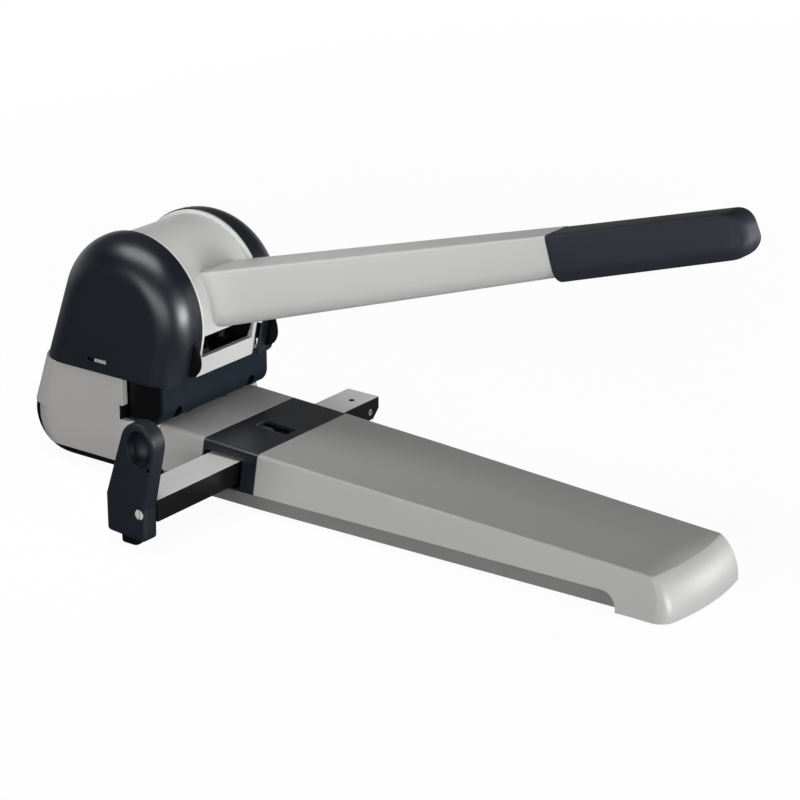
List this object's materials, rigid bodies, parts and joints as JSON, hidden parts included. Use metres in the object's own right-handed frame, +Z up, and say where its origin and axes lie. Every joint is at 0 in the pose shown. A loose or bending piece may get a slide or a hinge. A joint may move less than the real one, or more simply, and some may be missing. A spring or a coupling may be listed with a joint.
{
  "type": "heavy duty hole punch",
  "caption": "Long-lever desk hole punch with dark domed side covers, a sliding side stop on a steel bar, a hold-down that rises with the lever and a chip drawer.",
  "frame": {"origin": "on the table, below the middle of the two punch axes", "axes": "+X to the right of a user at the nose who faces the head, -Y towards the user along the tongue, +Z up"},
  "size_m": [0.2575, 0.5542, 0.2578],
  "materials": {
    "silver_paint": "satin silver-grey paint on sheet metal",
    "silver_cast": "satin silver-grey paint on cast aluminium",
    "dark_plastic": "blue-black satin moulded plastic",
    "black_plastic": "black moulded plastic",
    "grip_plastic": "soft dark grip plastic",
    "steel": "ground steel",
    "bright_steel": "bright polished steel",
    "brass": "turned bearing brass",
    "rubber": "matt black rubber"
  },
  "bodies": {
    "base": {"base_pan": "silver_paint", "tongue_cover": "silver_paint", "slot_cover": "dark_plastic", "deck": "silver_paint", "rear_housing": "silver_paint", "base_shoe": "black_plastic", "die_plate": "steel", "die_left": "bright_steel", "die_right": "bright_steel", "side_plate_left": "silver_paint", "side_plate_right": "silver_paint", "side_cover_left": "dark_plastic", "side_cover_right": "dark_plastic", "back_panel": "silver_paint", "paper_stop": "steel", "tie_rods": "steel", "axle_bushes": "brass", "guide_posts": "bright_steel", "post_nuts": "steel", "spring_left": "steel", "spring_right": "steel", "rack_guide_left": "brass", "rack_guide_right": "brass", "bar_rail": "black_plastic", "pointer": "bright_steel", "nose_pads": "rubber", "pan_screws": "steel", "plate_screws": "steel"},
    "lever": {"lever_hub": "silver_cast", "lever_arm": "silver_cast", "lever_grip": "grip_plastic", "grip_pin": "steel", "arm_screws": "steel", "lever_axle": "bright_steel", "hub_key": "steel", "pinion_left": "steel", "pinion_right": "steel", "pinion_keys": "steel", "axle_rings": "steel"},
    "ram_left": {"ram_left": "steel", "punch_left": "bright_steel", "punch_plug_left": "black_plastic"},
    "ram_right": {"ram_right": "steel", "punch_right": "bright_steel", "punch_plug_right": "black_plastic"},
    "hold_down": {"hold_down": "dark_plastic", "post_bushes": "brass"},
    "side_stop": {"guide_bar": "bright_steel", "end_stop": "dark_plastic", "stop_screw": "bright_steel", "bar_end_block": "black_plastic", "bar_pin": "steel", "stop_foot": "rubber"},
    "chip_tray": {"chip_tray": "black_plastic"}
  },
  "joints": [
    {"name": "lever_hinge", "type": "hinge", "parent": "base", "child": "lever", "pos_m": [0, 0.02, 0.1155], "axis": [-1, 0, 0], "range_deg": [0, 65]},
    {"name": "ram_left_slide", "type": "slide", "parent": "base", "child": "ram_left", "axis": [0, 0, 1], "range_m": [0, 0.0341]},
    {"name": "ram_right_slide", "type": "slide", "parent": "base", "child": "ram_right", "axis": [0, 0, 1], "range_m": [0, 0.0341]},
    {"name": "hold_down_slide", "type": "slide", "parent": "base", "child": "hold_down", "axis": [0, 0, 1], "range_m": [0, 0.0271], "deforming": ["spring_left", "spring_right"]},
    {"name": "side_stop_slide", "type": "slide", "parent": "base", "child": "side_stop", "axis": [-1, 0, 0], "range_m": [-0.07, 0.042]},
    {"name": "chip_tray_slide", "type": "slide", "parent": "base", "child": "chip_tray", "axis": [0, 1, 0], "range_m": [0, 0.11]}
  ],
  "couplings": [
    {"joint": "ram_left_slide", "follows": "lever_hinge", "m_per_rad": 0.03},
    {"joint": "ram_right_slide", "follows": "lever_hinge", "m_per_rad": 0.03},
    {"joint": "hold_down_slide", "follows": "lever_hinge", "m_per_rad": 0.0238}
  ]
}
